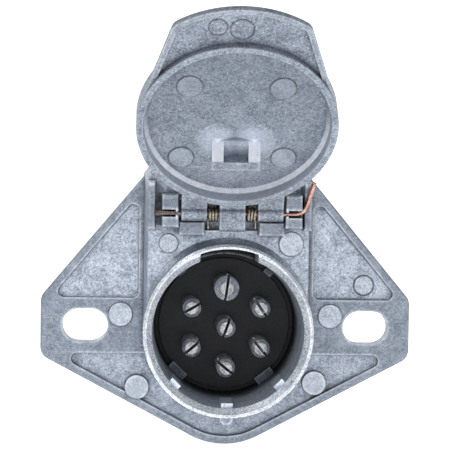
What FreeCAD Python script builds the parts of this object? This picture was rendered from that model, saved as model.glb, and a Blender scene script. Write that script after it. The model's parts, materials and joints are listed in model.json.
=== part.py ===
"""Seven-way round trailer socket with a sprung lid, as a parametric assembly.

Frame, in millimetres: the origin is on the bore's axis, in the plane of the flange's back face.
+X is to the right of a person facing the socket, +Z is up, and +Y goes through the panel.
The plug comes in along +Y, and the lid is drawn in its stored, open position.
"""

import FreeCAD, Part
import Sketcher
import os
import re
import math

V = FreeCAD.Vector
doc = FreeCAD.newDocument("trailer_socket")

# ---------------------------------------------------------------- driving dimensions

# Lengths are in millimetres and angles in degrees.
SIZES = {
    # flange
    "slot_pitch": 73.0, "slot_width": 8.6, "slot_span": 11.8,
    "flange_thick": 5.0, "flange_half": 48.0, "side_top": 7.3, "side_foot": 7.9,
    "flange_top": 43.0, "top_half": 18.2, "flange_foot": 33.3,
    "side_round": 3.5, "top_round": 4.0, "foot_round": 19.0,
    "panel_deep": 1.2, "border": 2.1, "band_half": 7.2, "panel_corner": 1.6, "panel_soft": 0.6,
    "flange_soft": 0.7, "block_soft": 0.45, "root_flare": 1.3,
    # collar and bore
    "collar_out": 18.0, "collar_rad": 21.5, "hump_rad": 20.0, "hump_up": 2.3,
    "rim_edge": 0.6, "mouth_rad": 20.6, "bore_rad": 19.2, "mouth_deep": 1.8,
    "seat_rad": 18.5, "insert_deep": 28.0,
    "keyway_half": 7.3, "keyway_rad": 21.1, "keyway_deep": 22.0,
    "rib_wide": 3.0, "rib_high": 1.2, "rib_set": 1.2, "rib_long": 11.0,
    "stop_wide": 5.2, "stop_high": 2.1, "stop_long": 2.4, "small_stop_wide": 2.4, "small_stop_high": 1.4,
    "foot_rib_rad": 1.7, "foot_rib_long": 13.0,
    # rear barrel
    "barrel_rad": 22.0, "barrel_lip": 2.0, "ring_groove": 1.1,
    # hinge tower
    "tower_half": 20.6, "tower_drop": 8.0, "tower_draft": 5.0, "tower_cap": 0.6,
    "hinge_up": 30.0, "hinge_back": 0.2, "hinge_shift": 0.5,
    "well_half": 13.3, "well_low": 4.6, "well_high": 6.6, "well_deep": 13.8,
    "lug_long": 4.3, "lug_web": 0.8, "lug_low": 3.6, "lug_high": 4.8, "lug_proud": 0.8,
    "pillar_thick": 2.0, "pillar_low": 4.2, "pillar_set": 1.2,
    "stop_block": 6.5, "bar_low": 3.4, "bar_high": 6.0,
    "pin_rad": 0.8, "pin_play": 0.06, "pin_bend": 2.2, "pin_lean": 18.0, "pin_tail": 9.0,
    "pin_end": 19.6, "pin_turn": 16.9,
    # lid
    "lid_open": 141.0, "cup_rad": 22.4, "lid_rad": 24.2, "lid_up": 0.7, "lid_skin": 2.5,
    "lid_gap": 0.4, "cup_deep": 3.9, "cup_foot": 1.0,
    "tab_reach": 63.4, "tab_arc": 28.7, "tab_root": 22.7, "tab_root_drop": 8.2, "tab_back": 3.2,
    "tab_end_half": 13.8, "tab_end_drop": 35.9, "tab_thick": 2.3, "tab_wall": 1.3, "tab_floor": 1.3,
    "tab_corner": 3.0, "lid_soft": 0.9, "skirt_soft": 0.4, "lid_pad_rad": 3.1, "lid_pad_high": 0.2,
    "knuckle_rad": 1.9, "knuckle_half": 12.7, "knuckle_in": 6.4, "arm_lap": 0.5,
    "tail_half": 3.2, "tail_reach": 4.5, "block_gap": 0.15, "bar_gap": 0.08,
    "catch_half": 5.9, "catch_rib": 2.9, "catch_high": 4.5, "catch_ramp": 3.9, "catch_flat": 2.4,
    "catch_at": 12.7, "catch_step": 1.5, "catch_toe": 0.6,
    # spring
    "wire_dia": 0.7, "coil_rad": 1.9, "coil_turns": 3.0, "coil_gap": 0.1, "spring_bend": 0.9,
    "bridge_rise": 3.4, "bridge_reach": 9.0, "leg_gap": 0.1,
    # insert, contacts and screws
    "insert_face": 17.2, "insert_play": 0.12, "insert_step": 1.4, "insert_long": 15.0,
    "ring_thick": 1.0, "ring_band": 2.2, "ring_play": 0.05, "ring_gap": 6.0, "ear_rad": 2.0, "ear_hole": 0.8,
    "ear_set": 1.6, "ear_rise": 0.6,
    "contact_circle": 10.3, "contact_rad": 2.375, "ground_rad": 3.175, "contact_deep": 12.0,
    "contact_nose": 0.8, "ground_nose": 1.5, "nose_long": 1.2, "split": 0.75, "split_long": 10.0,
    "terminal_rad": 3.3, "terminal_out": 10.5, "terminal_set": 1.0, "centre_out": 19.5,
    "wire_rad": 2.05, "wire_deep": 9.0, "screw_rad": 1.9, "screw_long": 2.6, "screw_slot": 0.6,
    "screw_slot_deep": 0.8,
    "screw_back": 4.2, "thread_play": 0.04, "screw_proud": 1.4,
    # how far a piece laps into its neighbour, and how far a cutter runs past what it cuts
    "overlap": 1.0, "overshoot": 1.0, "pad_high": 0.3,
}

# The flat round pads that the ejector pins leave: name, x, z, radius and the face that they stand on.
EJECTOR_PADS = [
    ("tower_left", "-15.2", "22.0", "2.4", "tower"),
    ("tower_right", "16.0", "22.1", "3.1", "tower"),
    ("band_left", "-27.3", "2.9", "3.1", "front"),
    ("band_right", "27.2", "2.9", "3.1", "front"),
    ("foot_left", "-22.9", "-16.0", "3.1", "front"),
    ("foot_right", "23.3", "-14.6", "3.1", "front"),
]

# The lid's own pads: x from the lid's middle, and z with the lid shut.
LID_PADS = [("-11.6", "-9.2"), ("10.6", "-9.0"), ("-13.2", "12.4"), ("11.8", "12.2")]

GUIDE_RIBS = (-135, -90, -45)
STOP_LUGS = [
    # angle about the bore's axis, width and height
    (50, "small_stop_wide", "small_stop_high"),
    (130, "small_stop_wide", "small_stop_high"),
    (226, "stop_wide", "stop_high"),
    (308, "stop_wide", "stop_high"),
]

CONTACTS = [
    # name, angle about the bore's axis in degrees from +X, angle of the split
    ("pin_ground_white", 90.0, 82.0),
    ("pin_clearance_black", 30.0, -55.0),
    ("pin_right_turn_green", -30.0, -50.0),
    ("pin_tail_brown", -90.0, -38.0),
    ("pin_left_turn_yellow", 210.0, 40.0),
    ("pin_stop_red", 150.0, 30.0),
    ("pin_auxiliary_blue", None, 70.0),
]

sheet = doc.addObject("Spreadsheet::Sheet", "dims")
for row, (alias, size) in enumerate(SIZES.items(), start=1):
    sheet.set(f"A{row}", alias)
    sheet.set(f"B{row}", str(size))
    sheet.setAlias(f"B{row}", alias)
doc.recompute()


def named(text):
    """A formula in the sheet's own words, turned into one that every object can read."""
    return re.sub(r"[a-z]\w*", lambda word: ("dims." if word[0] in SIZES else "") + word[0], text)


def value(text):
    """The number that a formula gives with the sheet's present sizes."""
    return float(sheet.evalExpression(named(text)))


def bind(thing, prop, text):
    thing.setExpression(prop, named(text))


# ---------------------------------------------------------------- helpers for PartDesign bodies

def origin_plane(body, role):
    for plane in body.Origin.OriginFeatures:
        if plane.Role == role:
            return plane
    raise RuntimeError("no plane " + role)


def new_body(label):
    body = doc.addObject("PartDesign::Body", label)
    body.Label = label
    return body


def new_sketch(body, name, role, lift=None):
    """A sketch on one of the body's own planes, lifted along its normal by a formula."""
    sketch = body.newObject("Sketcher::SketchObject", name)
    sketch.AttachmentSupport = (origin_plane(body, role), [""])
    sketch.MapMode = "FlatFace"
    if lift is not None:
        bind(sketch, "AttachmentOffset.Base.z", lift)
    return sketch


def hold(sketch, kind, part, point, text):
    """Ties one coordinate of a point, counted from the sketch's origin, to a formula."""
    index = sketch.addConstraint(Sketcher.Constraint(kind, -1, 1, part, point, value(text)))
    sketch.setExpression(f"Constraints[{index}]", named(text))


def polygon(sketch, corners):
    """A closed outline of straight lines through corners given as pairs of formulas."""
    places = [V(value(x), value(y), 0) for x, y in corners]
    first = sketch.GeometryCount
    count = len(corners)
    for i in range(count):
        sketch.addGeometry(Part.LineSegment(places[i], places[(i + 1) % count]), False)
    for i in range(count):
        sketch.addConstraint(Sketcher.Constraint("Coincident", first + i, 2, first + (i + 1) % count, 1))
    for i, (x, y) in enumerate(corners):
        hold(sketch, "DistanceX", first + i, 1, x)
        hold(sketch, "DistanceY", first + i, 1, y)


def circle(sketch, x, y, radius):
    """A circle whose centre and radius are formulas."""
    centre = V(value(x), value(y), 0)
    index = sketch.addGeometry(Part.Circle(centre, V(0, 0, 1), value(radius)), False)
    hold(sketch, "DistanceX", index, 3, x)
    hold(sketch, "DistanceY", index, 3, y)
    tie = sketch.addConstraint(Sketcher.Constraint("Radius", index, value(radius)))
    sketch.setExpression(f"Constraints[{tie}]", named(radius))


def finish_feature(body, feature, sketch):
    sketch.Visibility = False
    doc.recompute()
    body.Tip = feature
    return feature


def pad(body, name, sketch, length, reverse=False, taper=None):
    feature = body.newObject("PartDesign::Pad", name)
    feature.Profile = sketch
    bind(feature, "Length", length)
    feature.Reversed = reverse
    if taper is not None:
        bind(feature, "TaperAngle", taper)
    return finish_feature(body, feature, sketch)


def pocket(body, name, sketch, length, reverse=False):
    before = body.Shape.Volume
    feature = body.newObject("PartDesign::Pocket", name)
    feature.Profile = sketch
    bind(feature, "Length", length)
    feature.Reversed = reverse
    finish_feature(body, feature, sketch)
    if body.Shape.Volume > before - 1e-3:
        raise RuntimeError(name + " cuts nothing")
    return feature


def turned(body, kind, name, sketch, axis):
    """A revolution or groove of a profile about one of its sketch's axes."""
    before = body.Shape.Volume if kind == "PartDesign::Groove" else None
    feature = body.newObject(kind, name)
    feature.Profile = sketch
    feature.ReferenceAxis = (sketch, [axis])
    feature.Angle = 360
    finish_feature(body, feature, sketch)
    if before is not None and body.Shape.Volume > before - 1e-3:
        raise RuntimeError(name + " cuts nothing")
    return feature


def rounded(body, name, radius, chosen, kind="PartDesign::Fillet"):
    """Rounds the edges of the body's tip that a test picks out."""
    base = body.Tip
    edges = [f"Edge{i + 1}" for i, edge in enumerate(base.Shape.Edges) if chosen(edge)]
    if not edges:
        raise RuntimeError(name + " finds no edge")
    feature = body.newObject(kind, name)
    feature.Base = (base, edges)
    bind(feature, "Radius" if kind.endswith("Fillet") else "Size", radius)
    doc.recompute()
    body.Tip = feature
    return feature


def along_y(edge):
    """True for a straight edge that runs through the flange."""
    if len(edge.Vertexes) != 2 or edge.Curve.TypeId != "Part::GeomLine":
        return False
    return abs(abs(edge.tangentAt(edge.FirstParameter).y) - 1) < 1e-6


# ---------------------------------------------------------------- helpers for Part primitives

def block(name, low, high):
    """A box between two corners, each given as three formulas."""
    box = doc.addObject("Part::Box", name)
    for axis, side, a, b in zip("xyz", ("Length", "Width", "Height"), low, high):
        bind(box, side, f"({b}) - ({a})")
        bind(box, "Placement.Base." + axis, a)
    return box


AXES = {"x": (V(0, 1, 0), 90), "y": (V(1, 0, 0), -90), "z": (V(0, 0, 1), 0)}


def rod(name, axis, radius, length, start):
    """A cylinder that starts at a point and runs along a positive axis."""
    cylinder = doc.addObject("Part::Cylinder", name)
    bind(cylinder, "Radius", radius)
    bind(cylinder, "Height", length)
    direction, angle = AXES[axis]
    cylinder.Placement = FreeCAD.Placement(V(0, 0, 0), FreeCAD.Rotation(direction, angle))
    for letter, text in zip("xyz", start):
        bind(cylinder, "Placement.Base." + letter, text)
    return cylinder


def fuse(name, parts):
    joined = doc.addObject("Part::MultiFuse", name)
    joined.Shapes = parts
    joined.Refine = True
    return joined


def cut(name, base, tools):
    """The base less one or more tools."""
    tool = tools[0] if len(tools) == 1 else fuse(name + "_tools", tools)
    result = doc.addObject("Part::Cut", name)
    result.Base = base
    result.Tool = tool
    result.Refine = True
    return result


def common(name, base, tool):
    result = doc.addObject("Part::Common", name)
    result.Base = base
    result.Tool = tool
    return result


def softened(name, base, radius, chosen, kind="Part::Fillet"):
    """A primitive or boolean with the edges that a test picks out rounded or bevelled."""
    doc.recompute()
    feature = doc.addObject(kind, name)
    feature.Base = base
    size = value(radius)
    feature.Edges = [(i + 1, size, size) for i, edge in enumerate(base.Shape.Edges) if chosen(edge)]
    if not feature.Edges:
        raise RuntimeError(name + " finds no edge")
    return feature


def not_behind(limit):
    """A test for edges that lie wholly in front of a plane across Y."""
    return lambda edge: edge.BoundBox.YMax < limit


def turn_about_x(thing, angle, y, z):
    """Turns a piece about a line along X through (y, z), by a formula in degrees."""
    thing.Placement = FreeCAD.Placement(V(0, 0, 0), FreeCAD.Rotation(V(1, 0, 0), 1))
    bind(thing, "Placement.Rotation.Angle", angle)
    bind(thing, "Placement.Base.x", "0")
    bind(thing, "Placement.Base.y", f"({y}) - ({y}) * cos({angle}) + ({z}) * sin({angle})")
    bind(thing, "Placement.Base.z", f"({z}) - ({y}) * sin({angle}) - ({z}) * cos({angle})")


# Depths: y of the planes that the pieces share.
FRONT = "-flange_thick"
RIM = "(-flange_thick - collar_out)"
TOWER = f"({RIM} + tower_drop)"
HINGE_Y = f"({RIM} + hinge_back)"
HINGE_Z = "hinge_up"
SEAT = f"({RIM} + insert_deep)"
INSERT_BACK = f"({SEAT} + insert_long)"
BARREL_END = f"({INSERT_BACK} + barrel_lip)"
FLOOR = f"({RIM} - lid_gap)"
SKIN = f"({FLOOR} - lid_skin)"
EDGE = f"({FLOOR} + cup_deep)"
TAB = f"({SKIN} + tab_back)"
LID_X = "hinge_shift"

# ---------------------------------------------------------------- housing: flange

flange = new_body("flange")
outline = new_sketch(flange, "flange_outline", "XZ_Plane")
polygon(outline, [
    ("-flange_half", "side_top"), ("-top_half", "flange_top"), ("top_half", "flange_top"),
    ("flange_half", "side_top"), ("flange_half", "-side_foot"), ("0", "-flange_foot"),
    ("-flange_half", "-side_foot"),
])
pad(flange, "flange_plate", outline, "flange_thick")
rounded(flange, "foot_round_edge", "foot_round",
        lambda e: along_y(e) and e.Vertexes[0].Point.z < -value("flange_foot") + 1)
rounded(flange, "side_round_edges", "side_round",
        lambda e: along_y(e) and abs(abs(e.Vertexes[0].Point.x) - value("flange_half")) < 1e-3)
rounded(flange, "top_round_edges", "top_round",
        lambda e: along_y(e) and abs(e.Vertexes[0].Point.z - value("flange_top")) < 1e-3)

rounded(flange, "flange_soft_edge", "flange_soft",
        lambda e: abs(e.BoundBox.YMax - value(FRONT)) < 1e-3)

# The sunk panels are the flange's own outline, drawn in by the border, less the bands between them.
inset = doc.addObject("Part::Feature", "panel_tool")
face = [f for f in flange.Shape.Faces if max(abs(f.BoundBox.YMin), abs(f.BoundBox.YMax)) < 1e-6][0]
shrunk = face.makeOffset2D(-value("border"))
inset.Shape = shrunk.extrude(V(0, -value("flange_thick + overshoot"), 0))
deep_cut = block("panel_depth", ("-2 * flange_half", "-flange_thick - overshoot", "-2 * flange_foot"),
                 ("2 * flange_half", "panel_deep - flange_thick", "2 * flange_top"))
band = block("slot_band", ("-2 * flange_half", "-flange_thick - overshoot", "-band_half"),
             ("2 * flange_half", "0", "band_half"))
tower_foot = block("tower_foot", ("-tower_half - border", "-flange_thick - overshoot", "0"),
                   ("tower_half + border", "0", "2 * flange_top"))
panels = softened("panels", cut("panel_field", common("panel_depths", inset, deep_cut), [band, tower_foot]),
                  "panel_corner", lambda e: along_y(e) and abs(e.Vertexes[0].Point.x) > value("tower_half"))
panels = softened("panel_floors", panels, "panel_soft",
                  lambda e: abs(e.BoundBox.YMax - value("panel_deep - flange_thick")) < 1e-3)

slots = []
for side, sign in (("left", "-"), ("right", "")):
    centre = f"{sign}slot_pitch / 2"
    reach = "(slot_span - slot_width) / 2"
    slots.append(block("slot_" + side,
                       (f"{centre} - {reach}", "-flange_thick - overshoot", "-slot_width / 2"),
                       (f"{centre} + {reach}", "overshoot", "slot_width / 2")))
    for end, way in (("in", "-"), ("out", "+")):
        slots.append(rod(f"slot_{side}_{end}", "y", "slot_width / 2", "flange_thick + 2 * overshoot",
                         (f"{centre} {way} {reach}", "-flange_thick - overshoot", "0")))

# ---------------------------------------------------------------- housing: collar, barrel and bore

collar = rod("collar", "y", "collar_rad", "flange_thick + collar_out", ("0", RIM, "0"))
hump = rod("keyway_hump", "y", "hump_rad", "flange_thick + collar_out", ("0", RIM, "hump_up"))
barrel = rod("rear_barrel", "y", "barrel_rad", BARREL_END, ("0", "0", "0"))
collar_blank = fuse("collar_blank", [collar, hump])
rim_bevel = softened("rim_bevel", collar_blank, "rim_edge",
                     lambda e: abs(e.BoundBox.YMax - value(RIM)) < 1e-3, "Part::Chamfer")


def flare(name, high, plane, reach):
    """A short cone that widens the collar where it runs into a face across Y."""
    cone = doc.addObject("Part::Cone", name)
    bind(cone, "Radius1", reach)
    bind(cone, "Radius2", f"{reach} + root_flare")
    bind(cone, "Height", "root_flare")
    cone.Placement = FreeCAD.Placement(V(0, 0, 0), FreeCAD.Rotation(V(1, 0, 0), -90))
    bind(cone, "Placement.Base.y", f"{plane} - root_flare")
    bind(cone, "Placement.Base.z", high)
    return cone


flange_flare = flare("flange_flare", "0", "(panel_deep - flange_thick)", "collar_rad")
tower_flare = common("tower_flare", flare("hump_flare", "hump_up", TOWER, "hump_rad"),
                     block("tower_flare_side", ("-tower_half", f"{TOWER} - 2 * root_flare", "0"),
                           ("tower_half", f"{TOWER} + overlap", "hinge_up - well_low")))

bore = new_body("bore")
profile = new_sketch(bore, "bore_profile", "YZ_Plane")
polygon(profile, [
    (f"{RIM} - overshoot", "0"), (f"{RIM} - overshoot", "mouth_rad"), (RIM, "mouth_rad"),
    (f"{RIM} + mouth_deep", "bore_rad"), (SEAT, "seat_rad"), (f"{INSERT_BACK} + ring_play", "seat_rad"),
    (f"{INSERT_BACK} + ring_play", "seat_rad + ring_groove"),
    (f"{INSERT_BACK} + 3 * ring_play + ring_thick", "seat_rad + ring_groove"),
    (f"{INSERT_BACK} + 3 * ring_play + ring_thick", "seat_rad"),
    (f"{BARREL_END} + overshoot", "seat_rad"), (f"{BARREL_END} + overshoot", "0"),
])
turned(bore, "PartDesign::Revolution", "bore_turned", profile, "H_Axis")

keyway_disc = rod("keyway_disc", "y", "keyway_rad", "keyway_deep + overshoot",
                  ("0", f"{RIM} - overshoot", "0"))
keyway_slab = block("keyway_slab", ("-keyway_half", f"{RIM} - overshoot", "0"),
                    ("keyway_half", f"{RIM} + keyway_deep", "2 * keyway_rad"))
keyway = common("keyway", keyway_disc, keyway_slab)


def bore_pad(name, angle, wide, high, start, length, wall):
    """A pad on the bore's wall, as wide as stated, its inner face square to its own radius."""
    pad_box = doc.addObject("Part::Box", name)
    bind(pad_box, "Length", f"{high} + overlap")
    bind(pad_box, "Width", length)
    bind(pad_box, "Height", wide)
    pad_box.Placement = FreeCAD.Placement(V(0, 0, 0), FreeCAD.Rotation(V(0, -1, 0), angle))
    bind(pad_box, "Placement.Base.x", f"({wall} - {high}) * cos({angle}) + {wide} / 2 * sin({angle})")
    bind(pad_box, "Placement.Base.y", start)
    bind(pad_box, "Placement.Base.z", f"({wall} - {high}) * sin({angle}) - {wide} / 2 * cos({angle})")
    return pad_box


bore_pads = []
for angle in GUIDE_RIBS:
    bore_pads.append(bore_pad(f"guide_rib_{-angle}", angle, "rib_wide", "rib_high",
                              f"{RIM} + mouth_deep + rib_set", "rib_long", "bore_rad"))
for angle, wide, high in STOP_LUGS:
    bore_pads.append(bore_pad(f"stop_lug_{angle}", angle, wide, high,
                              f"{SEAT} - stop_long", "stop_long", "seat_rad"))

foot_rib = rod("foot_rib", "y", "foot_rib_rad", "foot_rib_long",
               ("0", f"{FRONT} - foot_rib_long + panel_deep", "-collar_rad - foot_rib_rad / 2"))

# ---------------------------------------------------------------- housing: hinge tower

tower_body = new_body("tower")
tower_plan = new_sketch(tower_body, "tower_plan", "XZ_Plane", "flange_thick + collar_out - tower_drop")
polygon(tower_plan, [
    ("-tower_half", "0"), ("-tower_half", "flange_top - top_round"),
    ("-top_half", "flange_top - tower_cap"), ("top_half", "flange_top - tower_cap"),
    ("tower_half", "flange_top - top_round"), ("tower_half", "0"),
])
pad(tower_body, "tower_block", tower_plan, "flange_thick + collar_out - tower_drop - overlap", True,
    "tower_draft")

rounded(tower_body, "tower_soft_edge", "flange_soft",
        lambda e: abs(e.BoundBox.YMax - value(TOWER)) < 1e-3 and e.BoundBox.ZMax > 1)

WELL_LEFT = "hinge_shift - well_half"
WELL_RIGHT = "hinge_shift + well_half"
well = block("hinge_well", (WELL_LEFT, f"{RIM} - 3 * overshoot", "hinge_up - well_low"),
             (WELL_RIGHT, f"{RIM} + well_deep", "hinge_up + well_high"))

# The open lid's outer face comes to rest on the lower edge of these bars.
BAR_Y = f"({HINGE_Y} + ({HINGE_Y} - {SKIN} + bar_gap - bar_low * sin(lid_open)) / (-cos(lid_open)))"

hinge_blocks = []
pin_windows = []
for side, inner, outer, web in (
    ("left", WELL_LEFT, f"{WELL_LEFT} - lug_long", f"{WELL_LEFT} - lug_web"),
    ("right", WELL_RIGHT, f"{WELL_RIGHT} + lug_long", f"{WELL_RIGHT} + lug_web"),
):
    low, high = (outer, inner) if side == "left" else (inner, outer)
    lug_blank = block("lug_blank_" + side, (low, f"{HINGE_Y} - lug_proud", "hinge_up - lug_low"),
                      (high, f"{TOWER} + overlap", "hinge_up + lug_high"))
    hinge_blocks.append(softened("lug_" + side, lug_blank, "block_soft", not_behind(value(HINGE_Y))))
    far = "-tower_half" if side == "left" else "tower_half - pillar_thick"
    near = "pillar_thick - tower_half" if side == "left" else "tower_half"
    pillar = block("pillar_blank_" + side, (far, f"{RIM} + pillar_set", "hinge_up - pillar_low"),
                   (near, f"{TOWER} + overlap", "flange_top - top_round - overlap"))
    hinge_blocks.append(softened("pillar_" + side, pillar, "block_soft",
                                 not_behind(value(f"{RIM} + pillar_set + overlap"))))
    window_low, window_high = (outer, web) if side == "left" else (web, outer)
    pin_windows.append(block("pin_window_" + side,
                             (window_low, f"{HINGE_Y} - 3 * overshoot", "hinge_up - pin_rad - 2 * pin_play"),
                             (window_high, HINGE_Y, "hinge_up + pin_rad + 2 * pin_play")))
    block_low = WELL_LEFT if side == "left" else f"{WELL_RIGHT} - stop_block"
    block_high = f"{WELL_LEFT} + stop_block" if side == "left" else WELL_RIGHT
    under = block("under_blank_" + side,
                  (block_low, f"{HINGE_Y} + arm_lap + bar_gap", "hinge_up - well_low - overlap"),
                  (block_high, f"{RIM} + well_deep + overlap", "hinge_up - knuckle_rad - block_gap"))
    hinge_blocks.append(softened("under_block_" + side, under, "block_soft",
                                 not_behind(value(f"{HINGE_Y} + arm_lap + 2 * bar_gap"))))
    hinge_blocks.append(block("stop_bar_" + side, (block_low, BAR_Y, "hinge_up + bar_low"),
                              (block_high, f"{RIM} + well_deep + overlap", "hinge_up + bar_high")))

pin_hole = rod("pin_hole", "x", "pin_rad + pin_play", "tower_half + pin_end",
               ("-pin_end - pin_play", HINGE_Y, HINGE_Z))
lid_sweep = rod("lid_sweep", "x", "knuckle_rad + block_gap", "2 * well_half",
                (WELL_LEFT, HINGE_Y, HINGE_Z))

# Flat round pads that the ejector pins leave.
ejector_pads = []
for name, x, z, radius, face_name in EJECTOR_PADS:
    top = TOWER if face_name == "tower" else FRONT
    ejector_pads.append(rod("ejector_" + name, "y", radius, "panel_deep + overlap",
                            (x, f"{top} - pad_high", z)))

tower_well = cut("tower_well", tower_body, [well])
blanks = fuse("housing_blanks", [cut("flange_sunk", flange, [panels]), tower_well, rim_bevel, barrel,
                                 flange_flare, tower_flare, foot_rib] + hinge_blocks + ejector_pads)
bored = cut("housing_bored", blanks, [bore, keyway, pin_hole, lid_sweep] + slots + pin_windows)
housing = fuse("housing", [bored] + bore_pads)
housing.Label = "housing"

# ---------------------------------------------------------------- lid, drawn shut and then opened

lid_turned = rod("lid_disc", "y", "lid_rad", "lid_skin + cup_deep", (LID_X, SKIN, "lid_up"))
lid_disc = softened("lid_disc_face", lid_turned, "lid_soft",
                    lambda e: abs(e.BoundBox.YMax - value(SKIN)) < 1e-3)
cup = rod("lid_cup", "y", "cup_rad", "cup_deep + overshoot", (LID_X, FLOOR, "lid_up"))
cup_soft = softened("lid_cup_foot", cup, "cup_foot",
                    lambda e: abs(e.BoundBox.YMax - value(FLOOR)) < 1e-3, "Part::Chamfer")
lid_dish = softened("lid_dish", cut("lid_dish_blank", lid_disc, [cup_soft]), "skirt_soft",
                    lambda e: abs(e.BoundBox.YMin - value(EDGE)) < 1e-3)
tab_body = new_body("tab")
tab_plan = new_sketch(tab_body, "tab_plan", "XZ_Plane", f"-{TAB}")
polygon(tab_plan, [
    (f"{LID_X} - tab_root", "lid_up - tab_root_drop"), (f"{LID_X} + tab_root", "lid_up - tab_root_drop"),
    (f"{LID_X} + tab_end_half", "lid_up - tab_end_drop"),
    (f"{LID_X} - tab_end_half", "lid_up - tab_end_drop"),
])
pad(tab_body, "tab_plate", tab_plan, "tab_thick", True)
tab_arc = rod("tab_arc_disc", "y", "tab_arc", "tab_thick", (LID_X, TAB, "hinge_up - tab_reach + tab_arc"))
tab_plate = common("tab_shape", tab_body, tab_arc)
tab_corners = softened("tab_corners", tab_plate, "tab_corner",
                       lambda e: along_y(e) and e.Vertexes[0].Point.z < value("lid_up - lid_rad"))
tab_soft = softened("tab_face", tab_corners, "lid_soft",
                    lambda e: abs(e.BoundBox.YMax - value(TAB)) < 1e-3)

# The arms stay just inside the outer face, so that the face's round edge runs past them.
ARM_Y = f"({SKIN} + lid_soft / 2)"

knuckles = []
for name, low, high in (
    ("left", f"{LID_X} - knuckle_half", f"{LID_X} - knuckle_in"),
    ("right", f"{LID_X} + knuckle_in", f"{LID_X} + knuckle_half"),
    ("tail", f"{LID_X} - tail_half", f"{LID_X} + tail_half"),
):
    knuckles.append(rod("knuckle_" + name, "x", "knuckle_rad", f"({high}) - ({low})",
                        (low, HINGE_Y, HINGE_Z)))
    knuckles.append(block("arm_" + name, (low, ARM_Y, "lid_up + cup_rad + arm_lap"),
                          (high, f"{HINGE_Y} + arm_lap", HINGE_Z)))

tail_plate = doc.addObject("Part::Box", "tail_plate")
bind(tail_plate, "Length", "2 * tail_half")
bind(tail_plate, "Width", "2 * knuckle_rad")
bind(tail_plate, "Height", "tail_reach - knuckle_rad")
bind(tail_plate, "Placement.Base.x", f"{LID_X} - tail_half")
tail_plate.Placement.Rotation = FreeCAD.Rotation(V(1, 0, 0), 1)
tail_round = rod("tail_round", "x", "knuckle_rad", "2 * tail_half", (f"{LID_X} - tail_half", "0", "0"))

# The tail points straight down once the lid is open, so on the shut lid it leans back by the same angle.
TAIL_Y = f"({HINGE_Y} + sin(lid_open) * (tail_reach - knuckle_rad))"
TAIL_Z = "(hinge_up - cos(lid_open) * (tail_reach - knuckle_rad))"
bind(tail_round, "Placement.Base.y", TAIL_Y)
bind(tail_round, "Placement.Base.z", TAIL_Z)
bind(tail_plate, "Placement.Rotation.Angle", "lid_open")
bind(tail_plate, "Placement.Base.y", f"{TAIL_Y} - knuckle_rad * cos(lid_open)")
bind(tail_plate, "Placement.Base.z", f"{TAIL_Z} - knuckle_rad * sin(lid_open)")

# The tab's sunk underside keeps a wall along its edge and another round the cup.
tab_field = doc.addObject("Part::Feature", "tab_recess_tool")
doc.recompute()
tab_front = value(f"{TAB} + tab_thick")
tab_face = [f for f in tab_soft.Shape.Faces if abs(f.BoundBox.YMin - tab_front) < 1e-6][0]
tab_field.Shape = tab_face.makeOffset2D(-value("tab_wall")).extrude(V(0, -value("tab_thick - tab_floor"), 0))
cup_wall = rod("cup_wall", "y", "lid_rad", "lid_skin + cup_deep", (LID_X, SKIN, "lid_up"))
tab_recess = cut("tab_recess", tab_field, [cup_wall])

pin_eye = rod("pin_eye", "x", "pin_rad + pin_play", "2 * (knuckle_half + overshoot)",
              (f"{LID_X} - knuckle_half - overshoot", HINGE_Y, HINGE_Z))
tab_outside = cut("tab_outside", tab_soft, [cup_soft])
lid_blank = fuse("lid_blank", [lid_dish, tab_outside, tail_plate, tail_round] + knuckles)
lid_shell = cut("lid_shell", lid_blank, [tab_recess, pin_eye])

catch_body = new_body("catch")
catch_side = new_sketch(catch_body, "catch_side", "YZ_Plane", f"{LID_X} - catch_half")
polygon(catch_side, [
    (f"{FLOOR} - overlap / 2", "catch_at"), (f"{FLOOR} + catch_high", "catch_at"),
    (f"{FLOOR} + catch_high", "catch_at - catch_flat"),
    (f"{FLOOR} + catch_step / 2", "catch_at - catch_flat - catch_ramp"),
    (f"{FLOOR} - overlap / 2", "catch_at - catch_flat - catch_ramp - catch_toe"),
])
pad(catch_body, "catch_block", catch_side, "2 * catch_half")
catch_gap = block("catch_gap",
                  (f"{LID_X} - catch_half + catch_rib", f"{FLOOR} + catch_step", "0"),
                  (f"{LID_X} + catch_half - catch_rib", f"{FLOOR} + catch_high + overshoot",
                   "catch_at - catch_flat"))
catch = cut("catch_lug", catch_body, [catch_gap])

lid_pads = []
for index, (x, z) in enumerate(LID_PADS):
    lid_pads.append(rod(f"lid_pad_{index}", "y", "lid_pad_rad", "lid_pad_high + overlap / 2",
                        (f"{LID_X} + {x}", f"{FLOOR} - overlap / 2", z)))

lid = fuse("lid", [lid_shell, catch] + lid_pads)
lid.Label = "lid"
turn_about_x(lid, "-lid_open", HINGE_Y, HINGE_Z)
doc.recompute()


# ---------------------------------------------------------------- hinge pin and spring

def bent_path(points, bend):
    """Straight runs through points with an arc of the bend's radius at each inner point."""
    edges = []
    start = points[0]
    for before, corner, after in zip(points, points[1:], points[2:]):
        into = (before - corner).normalize()
        out = (after - corner).normalize()
        half = into.getAngle(out) / 2
        reach = bend / math.tan(half)
        first = corner + into * reach
        last = corner + out * reach
        middle = corner + (into + out).normalize() * (bend / math.sin(half) - bend)
        edges.append(Part.LineSegment(start, first).toShape())
        edges.append(Part.Arc(first, middle, last).toShape())
        start = last
    edges.append(Part.LineSegment(start, points[-1]).toShape())
    return edges


def swept(edges, radius):
    """A round wire along edges that meet end to end."""
    path = Part.Wire(edges)
    first = edges[0]
    section = Part.Circle(first.valueAt(first.FirstParameter), first.tangentAt(first.FirstParameter), radius)
    return path.makePipeShell([Part.Wire(section.toShape())], True, False)


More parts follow.
